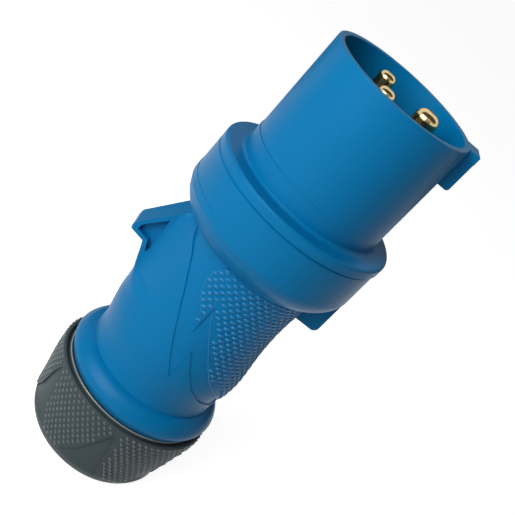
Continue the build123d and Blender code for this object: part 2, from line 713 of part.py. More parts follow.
# Name every piece and write its STEP file
os.makedirs("parts", exist_ok=True)
front_sleeve.part.label = "front_sleeve"
export_step(front_sleeve.part, "parts/front_sleeve.step")
housing_seal.part.label = "housing_seal"
export_step(housing_seal.part, "parts/housing_seal.step")
pin_line.part.label = "pin_line"
export_step(pin_line.part, "parts/pin_line.step")
pin_neutral.part.label = "pin_neutral"
export_step(pin_neutral.part, "parts/pin_neutral.step")
pin_earth.part.label = "pin_earth"
export_step(pin_earth.part, "parts/pin_earth.step")
terminal_screws.part.label = "terminal_screws"
export_step(terminal_screws.part, "parts/terminal_screws.step")
contact_carrier.part.label = "contact_carrier"
export_step(contact_carrier.part, "parts/contact_carrier.step")
carrier_screws.part.label = "carrier_screws"
export_step(carrier_screws.part, "parts/carrier_screws.step")
terminal_cover.part.label = "terminal_cover"
export_step(terminal_cover.part, "parts/terminal_cover.step")
cover_screw.part.label = "cover_screw"
export_step(cover_screw.part, "parts/cover_screw.step")
handle_shell.part.label = "handle_shell"
export_step(handle_shell.part, "parts/handle_shell.step")
clamping_cage.part.label = "clamping_cage"
export_step(clamping_cage.part, "parts/clamping_cage.step")
support_ring.part.label = "support_ring"
export_step(support_ring.part, "parts/support_ring.step")
grommet_outer.part.label = "grommet_outer"
export_step(grommet_outer.part, "parts/grommet_outer.step")
grommet_inner.part.label = "grommet_inner"
export_step(grommet_inner.part, "parts/grommet_inner.step")
slip_ring.part.label = "slip_ring"
export_step(slip_ring.part, "parts/slip_ring.step")
gland_nut.part.label = "gland_nut"
export_step(gland_nut.part, "parts/gland_nut.step")
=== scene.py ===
import math

import bpy
from bpy.props import FloatProperty, FloatVectorProperty, IntProperty, PointerProperty
from mathutils import Matrix, Vector
from mathutils.bvhtree import BVHTree


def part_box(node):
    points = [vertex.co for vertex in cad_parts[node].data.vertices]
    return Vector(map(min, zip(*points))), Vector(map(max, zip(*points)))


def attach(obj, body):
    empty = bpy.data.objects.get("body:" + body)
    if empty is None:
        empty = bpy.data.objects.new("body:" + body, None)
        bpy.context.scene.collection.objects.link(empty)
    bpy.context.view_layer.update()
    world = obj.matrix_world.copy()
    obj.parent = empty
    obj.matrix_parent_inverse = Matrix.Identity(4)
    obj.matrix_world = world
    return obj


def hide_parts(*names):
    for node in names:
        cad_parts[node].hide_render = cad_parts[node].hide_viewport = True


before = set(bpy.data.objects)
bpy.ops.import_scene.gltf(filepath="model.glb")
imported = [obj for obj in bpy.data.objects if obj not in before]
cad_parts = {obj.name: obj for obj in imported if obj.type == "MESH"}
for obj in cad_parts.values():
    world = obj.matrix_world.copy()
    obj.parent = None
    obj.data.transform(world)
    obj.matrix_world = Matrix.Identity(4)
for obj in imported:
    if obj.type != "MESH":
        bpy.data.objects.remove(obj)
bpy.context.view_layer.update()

bl_info = {
    "name": "Industrial plug finish",
    "version": (1, 0, 0),
    "blender": (4, 5, 0),
    "location": "View3D > Sidebar > Plug",
    "description": "Dresses the packed plug: moulded studs and edges, finishes and the studio",
    "category": "Object",
}

MM = 0.001

# Edges of the studded field on the grip, as (degrees from the key side, height in mm)
GRIP_FIELD = [(0, 39.4), (24, 42.6), (40, 46.4), (60, 53.2), (70, 58.7), (85, 67.4), (92, 71.4),
              (95.4, 72.0), (95.4, 63.2), (106, 70.0), (113.3, 75.2), (112, 78.3), (106.3, 81.6),
              (0, 81.6)]
# Thin raised edges of the grip's studded field, as (degrees from the key side, height in mm)
FIELD_LOW_EDGE = [(95.0, 70.4), (91.7, 68.4), (87.2, 65.8), (82.4, 63.2), (77.5, 60.5),
                  (72.1, 57.9), (66.6, 55.1), (61.3, 52.5), (54.6, 49.8), (45.6, 47.1),
                  (35.0, 44.4), (24.0, 41.9), (12.0, 39.7), (0.0, 38.8)]
FIELD_HIGH_EDGE = [(99.9, 67.1), (105.9, 69.7), (109.5, 71.6), (112.4, 74.0), (113.2, 76.1),
                   (112.4, 78.1), (110.4, 79.9), (107.4, 81.2), (104.2, 81.9)]
# The lug behind the collar keeps this part of the grip clear of studs
LUG_HALF_ANGLE, LUG_BOTTOM = 16, 74.5
# Edges of one studded field on the gland nut, from one fin to the next
NUT_FIELD = [(-82.8, 24.2), (-80.8, 20), (-78.5, 15), (-76.5, 10), (-74.5, 7), (-70, 3.6),
             (-50.5, 3.6), (-45, 7), (-40, 10), (-35.5, 15), (-31, 20), (-28.4, 24.2)]
NUT_FIELD_START = -88.3

# Groove beside the nose and the ridge below it, as (height in mm, degrees from the key side) and
# (height, distance from the axis) in mm
GROOVE_LINE = [(44.0, 86.0), (46.2, 86.3), (60.6, 109.2), (69.0, 123.8), (73.7, 133.5),
               (75.8, 138.0), (77.7, 144.0), (79.6, 149.0), (81.3, 153.0), (83.0, 156.0)]
NOSE_BACK = [(40.0, 21.2), (44.0, 22.0), (47.6, 22.5), (51.0, 22.6), (56.3, 23.2), (63.0, 25.45),
             (65.3, 26.35)]
# Heights in mm: where the nose's pocket starts, and where its flank starts to lean inwards
POCKET_BOTTOM, FLANK_TOP = 63, 79.4
# The nose's flank: its distance from the axis and half its width, in mm
FLANK, NOSE_HALF_WIDTH = 22.6, 5.03
# Its lean at the top: from a height, from a distance to the axis, and mm inwards for each mm up
LEAN_HEIGHT, LEAN_FLANK, LEAN = 79.8, 22.3, 0.748
# Above this height, in mm, the grip widens towards the collar by this many mm for each mm up
GRIP_FLARE_HEIGHT, GRIP_FLARE = 75.5, 0.08
# Degrees from the key side: where the nose's flare meets the grip, where a row stops at the
# latest, and where the grip's own radius is read
FLARE_FOOT, ROW_STOP, GRIP_PROBE = 132, 79, 212
# The fairing's rows: their lowest height and pitch in mm, and their number
ROWS_BOTTOM, ROW_PITCH, ROWS = 40, 0.5, 86
# Points in one row, the steps of it that lie on the nose's back, and degrees in such a step
ROW_POINTS, BACK_STEPS, BACK_STEP = 61, 10, 1.25


def linear(hex_code):
    """An sRGB hex value as linear RGBA, which is what Blender's sockets hold."""
    channels = [int(hex_code[i:i + 2], 16) / 255 for i in (1, 3, 5)]
    return [c / 12.92 if c <= 0.04045 else ((c + 0.055) / 1.055) ** 2.4 for c in channels] + [1.0]


def add_node(tree, kind, settings=None, inputs=None, links=None):
    """Add a node; settings are its fields, inputs its values, links its sockets fed by others."""
    node = tree.nodes.new(kind)
    for name, value in (settings or {}).items():
        setattr(node, name, value)
    for name, value in (inputs or {}).items():
        node.inputs[name].default_value = value
    for name, source in (links or {}).items():
        tree.links.new(source, node.inputs[name])
    return node


def start_material(name):
    """A fresh node material with its output, and Object coordinates in millimetres."""
    material = bpy.data.materials.new(name)
    material.use_nodes = True
    tree = material.node_tree
    tree.nodes.clear()
    place = add_node(tree, "ShaderNodeTexCoord")
    scaled = add_node(tree, "ShaderNodeVectorMath", {"operation": "SCALE"}, {"Scale": 1000.0},
                      {"Vector": place.outputs["Object"]})
    return material, tree, scaled.outputs["Vector"]


def finish_material(tree, shader):
    """Wire a shader to a material's output."""
    add_node(tree, "ShaderNodeOutputMaterial", links={"Surface": shader.outputs["BSDF"]})


def moulded_plastic(name, base, dark, roughness, grain_mm, grain_depth, ior=1.53, shine=0.12):
    """Injection-moulded plastic: even colour, a fine spark-eroded grain and soft reflections."""
    material, tree, point = start_material(name)
    # Slow drift of pigment and gloss over the moulding, some 20 mm from patch to patch
    drift = add_node(tree, "ShaderNodeTexNoise", inputs={"Scale": 1 / 20, "Detail": 3.0},
                     links={"Vector": point})
    colour = add_node(tree, "ShaderNodeMix", {"data_type": "RGBA"},
                      links={"Factor": drift.outputs["Fac"]})
    colour.inputs["A"].default_value = linear(dark)
    colour.inputs["B"].default_value = linear(base)
    gloss = add_node(tree, "ShaderNodeMapRange",
                     inputs={"To Min": roughness - 0.05, "To Max": roughness + 0.05},
                     links={"Value": drift.outputs["Fac"]})
    # Grain of the tool's surface
    grain = add_node(tree, "ShaderNodeTexNoise", inputs={"Scale": 1 / grain_mm, "Detail": 2.0},
                     links={"Vector": point})
    bump = add_node(tree, "ShaderNodeBump", inputs={"Strength": 1.0, "Distance": grain_depth * MM},
                    links={"Height": grain.outputs["Fac"]})
    shader = add_node(tree, "ShaderNodeBsdfPrincipled",
                      inputs={"IOR": ior, "Specular IOR Level": shine},
                      links={"Base Color": colour.outputs["Result"],
                             "Roughness": gloss.outputs["Result"],
                             "Normal": bump.outputs["Normal"]})
    finish_material(tree, shader)
    return material


def turned_metal(name, base, worn, roughness, ring_mm, ring_depth):
    """Turned and polished metal: fine turning rings round the axis and a trace of tarnish."""
    material, tree, point = start_material(name)
    tarnish = add_node(tree, "ShaderNodeTexNoise", inputs={"Scale": 1 / 4, "Detail": 4.0},
                       links={"Vector": point})
    colour = add_node(tree, "ShaderNodeMix", {"data_type": "RGBA"},
                      links={"Factor": tarnish.outputs["Fac"]})
    colour.inputs["A"].default_value = linear(worn)
    colour.inputs["B"].default_value = linear(base)
    gloss = add_node(tree, "ShaderNodeMapRange",
                     inputs={"To Min": roughness - 0.04, "To Max": roughness + 0.04},
                     links={"Value": tarnish.outputs["Fac"]})
    rings = add_node(tree, "ShaderNodeTexWave", {"bands_direction": "Z"},
                     {"Scale": 1 / (ring_mm * 3.2), "Distortion": 0.4}, {"Vector": point})
    bump = add_node(tree, "ShaderNodeBump", inputs={"Strength": 1.0, "Distance": ring_depth * MM},
                    links={"Height": rings.outputs["Fac"]})
    shader = add_node(tree, "ShaderNodeBsdfPrincipled", inputs={"Metallic": 1.0},
                      links={"Base Color": colour.outputs["Result"],
                             "Roughness": gloss.outputs["Result"],
                             "Normal": bump.outputs["Normal"]})
    finish_material(tree, shader)
    return material


def dress(nodes, material):
    """Give CAD nodes a material in place of the plain one they were packed with."""
    for name in nodes:
        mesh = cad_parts[name].data
        mesh.materials.clear()
        mesh.materials.append(material)


def inside(outline, a, h):
    """Whether a point lies in a closed outline of (angle, height) corners."""
    hit = False
    for (a0, h0), (a1, h1) in zip(outline, outline[1:] + outline[:1]):
        if (h0 > h) != (h1 > h) and a < (a1 - a0) * (h - h0) / (h1 - h0) + a0:
            hit = not hit
    return hit


def radial_hit(surface, angle, height):
    """Where a line from outside towards the axis meets a surface tree, and the normal there."""
    out = Vector((math.cos(math.radians(angle)), math.sin(math.radians(angle)), 0))
    start = out * 0.06 + Vector((0, 0, height * MM))
    point, normal, _, _ = surface.ray_cast(start, -out)
    if point is None:
        raise RuntimeError(f"no surface at {angle} degrees, {height} mm up")
    return point, normal


def model_stud(width, length, height):
    """One moulded stud with its base at the origin and its top towards +Z."""
    bpy.ops.object.select_all(action="DESELECT")
    bpy.ops.mesh.primitive_circle_add(vertices=8, radius=1.0, fill_type="NGON")
    stud = bpy.context.object
    bpy.ops.object.mode_set(mode="EDIT")
    bpy.ops.mesh.select_all(action="SELECT")
    bpy.ops.transform.resize(value=(width * MM / 2, length * MM / 2, 1))
    for lift, shrink in ((0.6, 0.82), (0.4, 0.6)):
        bpy.ops.mesh.extrude_region_move(
            TRANSFORM_OT_translate={"value": (0, 0, lift * height * MM)})
        bpy.ops.transform.resize(value=(shrink, shrink, 1))
    bpy.ops.mesh.select_all(action="SELECT")
    bpy.ops.mesh.normals_make_consistent(inside=False)
    bpy.ops.object.mode_set(mode="OBJECT")
    bpy.ops.object.transform_apply(location=True, rotation=True, scale=True)
    return stud


def stud_field(name, node, body, places, size, sink, tilt, material):
    """Copy one stud to every (angle, height) place on a node's surface and join the copies."""
    pattern = model_stud(*size)
    surface = BVHTree.FromObject(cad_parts[node], bpy.context.evaluated_depsgraph_get())
    copies = []
    for angle, height in places:
        point, normal = radial_hit(surface, angle, height)
        up = Vector((0, 0, 1))
        across = up.cross(normal).normalized()
        along = normal.cross(across)
        turn = Matrix((across, along, normal)).transposed() @ Matrix.Rotation(tilt, 3, "Z")
        copy = pattern.copy()
        copy.data = pattern.data.copy()
        copy.data.transform(Matrix.Translation(point - normal * sink * MM) @ turn.to_4x4())
        bpy.context.collection.objects.link(copy)
        copies.append(copy)
    bpy.data.objects.remove(pattern)
    bpy.ops.object.select_all(action="DESELECT")
    for copy in copies:
        copy.select_set(True)
    bpy.context.view_layer.objects.active = copies[0]
    bpy.ops.object.join()
    field = bpy.context.object
    field.name = name
    bpy.ops.object.shade_smooth_by_angle(angle=math.radians(60))
    field.data.materials.clear()
    field.data.materials.append(material)
    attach(field, body)
    return field


def smooth_line(table, steps):
    """A smooth run of places through a table's places, with so many steps between two of them."""
    ends = [table[0]] + table + [table[-1]]
    run = []
    for p0, p1, p2, p3 in zip(ends, ends[1:], ends[2:], ends[3:]):
        for k in range(steps):
            t = k / steps
            run.append(tuple(0.5 * (2 * b + (c - a) * t + (2 * a - 5 * b + 4 * c - d) * t * t
                                    + (3 * b - a - 3 * c + d) * t ** 3)
                             for a, b, c, d in zip(p0, p1, p2, p3)))
    return run + [table[-1]]


def along(table, height):
    """Value at a height in a table of (height, value) rows, which rise."""
    for (h0, v0), (h1, v1) in zip(table, table[1:]):
        if height <= h1:
            return v0 + (v1 - v0) * max(0.0, (height - h0) / (h1 - h0))
    return table[-1][1]


def fairing_row(surface, height):
    """Half of the nose fairing's section at a height, as points from the nose to the groove."""
    # The grip's own radius, read beside the nose where nothing is recessed
    point, _ = radial_hit(surface, GRIP_PROBE, min(height, GRIP_FLARE_HEIGHT))
    grip = point.xy.length / MM + max(0.0, height - GRIP_FLARE_HEIGHT) * GRIP_FLARE
    last = along(GROOVE_LINE, height)
    flank = -FLANK if height < FLANK_TOP else -LEAN_FLANK + (height - LEAN_HEIGHT) * LEAN
    turn = math.radians(FLARE_FOOT)
    foot = Vector((grip * math.cos(turn), grip * math.sin(turn)))
    away = Vector((math.sin(turn), -math.cos(turn)))
    start = Vector((flank, NOSE_HALF_WIDTH))
    handles = (start, start + Vector((2.2, 0.1)), foot - away * 6.5, foot)
    curve = []
    if height <= POCKET_BOTTOM:
        back = -along(NOSE_BACK, height)
        curve += [Vector((back, 0)), Vector((back, 4.2)), Vector((back + 0.25, 4.75))]
    for i in range(25):
        t = i / 24
        curve.append(handles[0] * (1 - t) ** 3 + handles[1] * 3 * t * (1 - t) ** 2
                     + handles[2] * 3 * t * t * (1 - t) + handles[3] * t ** 3)
    curve += [Vector((grip * math.cos(math.radians(a)), grip * math.sin(math.radians(a))))
              for a in range(FLARE_FOOT - 1, ROW_STOP, -1)]
    polar = [(math.degrees(math.atan2(p.y, p.x)), p.length) for p in curve]
    if height <= POCKET_BOTTOM:
        bend = 180 - BACK_STEPS * BACK_STEP
        steps = ROW_POINTS - 1 - BACK_STEPS
        turns = [180 - i * BACK_STEP for i in range(BACK_STEPS + 1)]
        turns += [bend + (last - bend) * i / steps for i in range(1, steps + 1)]
    else:
        first, steps = polar[0][0], ROW_POINTS - 1
        turns = [first + (last - first) * i / steps for i in range(ROW_POINTS)]
    # Below the nose the row runs out into the grip with its low hump, sunk a little at the end
    fade = min(1.0, max(0.0, (58.0 - height) / 4.0))
    lift = along(((44.0, -0.15), (50.0, 0.04)), height)
    row = []
    for a in turns:
        radius = polar[-1][1]
        for (a0, r0), (a1, r1) in zip(polar, polar[1:]):
            if a1 <= a <= a0:
                radius = r0 + (r1 - r0) * (a0 - a) / max(1e-6, a0 - a1)
                break
        if fade:
            hump = max(0.0, along(NOSE_BACK, height) - grip)
            spread = math.cos(math.radians(min(90.0, (180 - a) * 1.6))) ** 2
            radius += (grip + hump * spread - radius) * fade
        row.append((a, radius + lift, height))
    return row


def domed_pin(name, material):
    """A copy of a contact pin whose tip is turned to a dome, as the real pins' tips are."""
    low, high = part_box(name)
    radius = 0.0035 if name == "pin_earth" else 0.0025
    rounding = 0.7 * radius
    centre = Vector(((low[0] + high[0]) / 2, (low[1] + high[1]) / 2, high[2] - rounding))
    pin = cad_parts[name].copy()
    pin.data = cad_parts[name].data.copy()
    pin.name = name + "_domed"
    bpy.context.collection.objects.link(pin)
    bpy.ops.object.select_all(action="DESELECT")
    pin.select_set(True)
    bpy.context.view_layer.objects.active = pin
    bpy.ops.object.mode_set(mode="EDIT")
    bpy.ops.mesh.select_all(action="SELECT")
    bpy.ops.mesh.remove_doubles(threshold=0.000001)
    bpy.ops.mesh.bisect(plane_co=centre, plane_no=(0, 0, 1), use_fill=True, clear_outer=True)
    bpy.ops.mesh.select_mode(type="FACE")
    bpy.ops.object.mode_set(mode="OBJECT")
    for face in pin.data.polygons:
        face.select = face.normal.z > 0.99 and abs(face.center.z - centre.z) < 0.00001
    bpy.ops.object.mode_set(mode="EDIT")
    across = radius
    for step in range(1, 10):
        turn, before = math.radians(step * 10), math.radians((step - 1) * 10)
        rise = rounding * (math.sin(turn) - math.sin(before))
        bpy.ops.mesh.extrude_region_move(TRANSFORM_OT_translate={"value": (0, 0, rise)})
        narrower = radius - rounding * (1 - math.cos(turn))
        shrink = narrower / across
        bpy.ops.transform.resize(value=(shrink, shrink, 1), center_override=centre)
        across = narrower
    bpy.ops.object.mode_set(mode="OBJECT")
    bpy.ops.object.shade_smooth_by_angle(angle=math.radians(40))
    pin.data.materials.clear()
    pin.data.materials.append(material)
    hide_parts(name)
    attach(pin, "front")


class PlugFinish(bpy.types.PropertyGroup):
    """Roughness and grain of the two visible mouldings."""
    blue_roughness: FloatProperty(
        name="Blue roughness", description="Mean roughness of the blue moulding", default=0.38,
        min=0.05, max=1.0, subtype="FACTOR")
    grey_roughness: FloatProperty(
        name="Grey roughness", description="Mean roughness of the gland nut", default=0.5,
        min=0.05, max=1.0, subtype="FACTOR")
    grain: FloatProperty(
        name="Grain", description="Width of the moulded grain, in millimetres", default=0.35,
        min=0.05, max=2.0)


class StudSizes(bpy.types.PropertyGroup):
    """Sizes of the moulded studs, in millimetres."""
    grip_across: FloatProperty(
        name="Grip pitch across", description="Degrees from stud to stud round the grip",
        default=7.2, min=2.0, max=20.0)
    grip_row: FloatProperty(
        name="Grip row pitch", description="Height from row to row on the grip, in millimetres",
        default=1.36, min=0.5, max=5.0)
    nut_across: FloatProperty(
        name="Nut pitch across", description="Degrees from stud to stud round the nut", default=4.7,
        min=2.0, max=20.0)
    nut_row: FloatProperty(
        name="Nut row pitch", description="Height from row to row on the nut, in millimetres",
        default=1.5, min=0.5, max=5.0)
    height: FloatProperty(
        name="Stud height", description="Height of a stud above the surface, in millimetres",
        default=0.4, min=0.05, max=1.0)
    edge_radius: FloatProperty(
        name="Field edge", description="Height of the edge round the grip's field, in millimetres",
        default=0.16, min=0.05, max=1.0)
    nut_fins: IntProperty(
        name="Nut fins", description="Smooth fins between the nut's studded fields", default=6,
        min=1, max=12)


class StudioSettings(bpy.types.PropertyGroup):
    """Camera, lamps and floor."""
    lens: FloatProperty(
        name="Lens", description="Focal length for a 36 mm sensor, in millimetres", default=66.42,
        min=10.0, max=300.0)
    key_power: FloatProperty(
        name="Key power", description="Power of the large soft lamp", default=2.65, min=0.0,
        subtype="POWER")
    fill: FloatProperty(
        name="Fill", description="Strength of the even light from all round", default=0.06, min=0.0,
        max=2.0)
    floor_lift: FloatProperty(
        name="Floor lift", description="Strength added to the floor where it is seen as background",
        default=0.91, min=0.0, max=1.0)
    camera_place: FloatVectorProperty(
        name="Camera place", description="Where the camera stands, in metres", size=3,
        default=(-0.04363, -0.23589, 0.18867), subtype="TRANSLATION", unit="LENGTH")


class PLUG_OT_blue_mouldings(bpy.types.Operator):
    """Dress the front sleeve and handle as moulded blue polyamide"""
    bl_idname = "plug.blue_mouldings"
    bl_label = "Blue mouldings"

    def execute(self, context):
        finish = context.scene.plug_finish
        # Polyamide 6, moulded in a spark-eroded tool: satin, saturated blue, soft wide highlights
        blue = moulded_plastic("blue_moulded_polyamide", "#007AB5", "#0075AD",
                               finish.blue_roughness, finish.grain, 0.006)
        dress(["front_sleeve", "handle_shell"], blue)
        return {"FINISHED"}


class PLUG_OT_gland_nut(bpy.types.Operator):
    """Dress the gland nut as moulded grey polyamide"""
    bl_idname = "plug.gland_nut"
    bl_label = "Gland nut"

    def execute(self, context):
        finish = context.scene.plug_finish
        # Polyamide 6 in blue-grey, the same tool finish: a little duller than the blue
        grey = moulded_plastic("grey_moulded_polyamide", "#495458", "#434E51",
                               finish.grey_roughness, finish.grain, 0.008)
        dress(["gland_nut"], grey)
        return {"FINISHED"}


class PLUG_OT_contacts(bpy.types.Operator):
    """Dress the three contact pins as turned and polished brass"""
    bl_idname = "plug.contacts"
    bl_label = "Contact pins"

    def execute(self, context):
        # Free-cutting brass, turned and polished: pale gold with sharp dark and bright stripes
        brass = turned_metal("polished_turned_brass", "#E6CF9A", "#D2B67C", 0.2, 0.25, 0.0008)
        dress(["pin_earth", "pin_line", "pin_neutral"], brass)
        for name in ("pin_earth", "pin_line", "pin_neutral"):
            domed_pin(name, brass)
        return {"FINISHED"}


class PLUG_OT_inner_parts(bpy.types.Operator):
    """Dress the carrier, cover, cage, rings, seals and screws inside the plug"""
    bl_idname = "plug.inner_parts"
    bl_label = "Inner parts"

    def execute(self, context):
        # Glass-filled polyamide of the insulating parts: black, dull, slightly rough
        carrier = moulded_plastic("black_glass_filled_polyamide", "#242628", "#1D1F21", 0.5, 0.3,
                                  0.008)
        dress(["contact_carrier", "terminal_cover"], carrier)
        # Acetal of the clamping parts: off-white, smooth and a little waxy
        cage = moulded_plastic("white_moulded_acetal", "#C9C8C2", "#BFBEB7", 0.35, 0.4, 0.003)
        dress(["clamping_cage", "support_ring", "slip_ring"], cage)
        # Moulded EPDM rubber: matt black with a faint bloom
        rubber = moulded_plastic("moulded_black_rubber", "#1C1C1D", "#151516", 0.7, 0.25, 0.01,
                                 1.52)
        dress(["housing_seal", "grommet_outer", "grommet_inner"], rubber)
        # Zinc-plated steel screws: cool grey, softly brushed
        steel = turned_metal("zinc_plated_steel", "#C3C6CA", "#AEB1B6", 0.32, 0.3, 0.001)
        dress(["terminal_screws", "carrier_screws", "cover_screw"], steel)
        return {"FINISHED"}


class PLUG_OT_grip_studs(bpy.types.Operator):
    """Model the moulded studs on both sides of the grip"""
    bl_idname = "plug.grip_studs"
    bl_label = "Grip studs"

    def execute(self, context):
        sizes = context.scene.plug_studs
        places = []
        row, height = 0, 81.2
        while height > 38.0:
            first = (row + 1) % 2 * sizes.grip_across / 2
            count = int(120 / sizes.grip_across) + 1
            for i in range(-count, count + 1):
                angle = i * sizes.grip_across + first
                if inside(GRIP_FIELD, abs(angle), height):
                    if not (abs(angle) < LUG_HALF_ANGLE and height > LUG_BOTTOM):
                        places.append((angle, height))
            row += 1
            height -= sizes.grip_row
        # The same polyamide, smoother and shinier on the studs, and painted lighter blue as a
        # highlight on them
        material = moulded_plastic("blue_polyamide_painted_highlight_studs", "#1484BF", "#0A7CB6", 0.3, 0.35,
                                   0.003, shine=0.4)
        stud_field("grip_studs", "handle_shell", "handle", places,
                   (1.9, 0.95, sizes.height + 0.15), 0.15, math.radians(10), material)
        return {"FINISHED"}


class PLUG_OT_field_edges(bpy.types.Operator):
    """Model the thin raised edges of the grip's studded field"""
    bl_idname = "plug.field_edges"
    bl_label = "Field edges"

    def execute(self, context):
        surface = BVHTree.FromObject(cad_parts["handle_shell"],
                                     context.evaluated_depsgraph_get())
        curve = bpy.data.curves.new("grip_field_edges", "CURVE")
        curve.dimensions = "3D"
        curve.bevel_depth = context.scene.plug_studs.edge_radius * MM
        curve.bevel_resolution = 1
        curve.use_fill_caps = True
        across = FIELD_LOW_EDGE + [(-angle, height) for angle, height in FIELD_LOW_EDGE[-2::-1]]
        far_side = [(-angle, height) for angle, height in FIELD_HIGH_EDGE]
        for table in (across, FIELD_HIGH_EDGE, far_side):
            places = smooth_line(table, 5)
            line = curve.splines.new("POLY")
            line.points.add(len(places) - 1)
            for point, (angle, height) in zip(line.points, places):
                hit, _ = radial_hit(surface, angle, height)
                point.co = (*hit, 1.0)
        edges = bpy.data.objects.new("grip_field_edges", curve)
        context.collection.objects.link(edges)
        bpy.ops.object.select_all(action="DESELECT")
        edges.select_set(True)
        context.view_layer.objects.active = edges
        bpy.ops.object.convert(target="MESH")
        edges = context.object
        bpy.ops.object.shade_smooth()
        edges.data.materials.clear()
        # The studs' material: painted lighter blue as a highlight along the raised edges
        edges.data.materials.append(bpy.data.materials["blue_polyamide_painted_highlight_studs"])
        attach(edges, "handle")
        return {"FINISHED"}


class PLUG_OT_nose_fairing(bpy.types.Operator):
    """Model the smooth skin that carries the nose's sides into the grip, up to the groove"""
    bl_idname = "plug.nose_fairing"
    bl_label = "Nose fairing"

    def execute(self, context):
        surface = BVHTree.FromObject(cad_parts["handle_shell"],
                                     context.evaluated_depsgraph_get())
        heights = [ROWS_BOTTOM + i * ROW_PITCH for i in range(ROWS)]
        rows = [fairing_row(surface, height) for height in heights]
        mesh = bpy.data.meshes.new("nose_fairing")
        points, faces = [], []
        starts = {}
        for side in (-1, 1):
            for k, row in enumerate(rows):
                starts[side, k] = len(points)
                # One more point, sunk into the grip, closes the skin's edge at the groove
                ring = row + [(row[-1][0], row[-1][1] - 0.6, row[-1][2])]
                points += [(r * MM * math.cos(math.radians(a)),
                            side * r * MM * math.sin(math.radians(a)), h * MM) for a, r, h in ring]
            for k in range(len(rows) - 1):
                if (heights[k] <= POCKET_BOTTOM) != (heights[k + 1] <= POCKET_BOTTOM):
                    # The lower rows start at the middle, the upper ones beside the pocket
                    low, high = starts[side, k] + BACK_STEPS, starts[side, k + 1]
                    steps = ROW_POINTS - BACK_STEPS
                    for i in range(steps):
                        a0, a1 = low + i, low + i + 1
                        b0 = high + round(i * ROW_POINTS / steps)
                        b1 = high + round((i + 1) * ROW_POINTS / steps)
                        if b1 - b0 == 2:
                            faces.append((a0, a1, b1, b0 + 1, b0))
                        else:
                            faces.append((a0, a1, b1, b0))
                    continue
                for i in range(ROW_POINTS):
                    a0, b0 = starts[side, k] + i, starts[side, k + 1] + i
                    faces.append((a0, a0 + 1, b0 + 1, b0))
        for k in range(len(rows) - 1):
            if heights[k] >= FLANK_TOP:
                faces.append((starts[-1, k], starts[1, k], starts[1, k + 1], starts[-1, k + 1]))
        mesh.from_pydata(points, [], faces)
        fairing = bpy.data.objects.new("nose_fairing", mesh)
        context.collection.objects.link(fairing)
        bpy.ops.object.select_all(action="DESELECT")
        fairing.select_set(True)
        context.view_layer.objects.active = fairing
        bpy.ops.object.mode_set(mode="EDIT")
        bpy.ops.mesh.select_all(action="SELECT")
        bpy.ops.mesh.remove_doubles(threshold=0.00001)
        bpy.ops.mesh.normals_make_consistent(inside=False)
        bpy.ops.object.mode_set(mode="OBJECT")
        bpy.ops.object.shade_smooth_by_angle(angle=math.radians(30))
        mesh.materials.append(bpy.data.materials["blue_moulded_polyamide"])
        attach(fairing, "handle")
        return {"FINISHED"}


class PLUG_OT_nut_studs(bpy.types.Operator):
    """Model the moulded studs on the gland nut's raised fields"""
    bl_idname = "plug.nut_studs"
    bl_label = "Nut studs"

    def execute(self, context):
        sizes = context.scene.plug_studs
        pitch = 360 / sizes.nut_fins
        places = []
        row, height = 0, 23.9
        while height > 3.0:
            angle = NUT_FIELD_START + row % 2 * sizes.nut_across / 2
            while angle < NUT_FIELD_START + pitch:
                if inside(NUT_FIELD, angle, height):
                    places += [(angle + k * pitch, height) for k in range(sizes.nut_fins)]
                angle += sizes.nut_across
            row += 1
            height -= sizes.nut_row
        # The same grey polyamide, smoother and shinier on the studs, and painted paler as a
        # highlight on them
        material = moulded_plastic("grey_polyamide_painted_highlight_studs", "#5A6669", "#515D60", 0.3, 0.35,
                                   0.003, shine=0.5)
        # Bead on the nut's lip beside the blue shoulder: the same polyamide, painted pale and shiny
        # as a highlight along the lip
        pale = moulded_plastic("grey_polyamide_painted_highlight_lip", "#98A2A4", "#8C9698", 0.25, 0.35, 0.003,
                               shine=0.6)
        bpy.ops.object.select_all(action="DESELECT")
        bpy.ops.mesh.primitive_torus_add(major_segments=144, minor_segments=12,
                                         major_radius=23.45 * MM, minor_radius=0.24 * MM,
                                         location=(0, 0, 25.18 * MM))
        bead = context.object
        bead.name = "nut_lip_painted_highlight_bead"
        bpy.ops.object.transform_apply(location=True, rotation=True, scale=True)
        bpy.ops.object.shade_smooth()
        bead.data.materials.append(pale)
        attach(bead, "nut_body")
        stud_field("nut_studs", "gland_nut", "nut_body", places,
                   (1.45, 0.9, sizes.height + 0.15), 0.15, math.radians(-30), material)
        return {"FINISHED"}


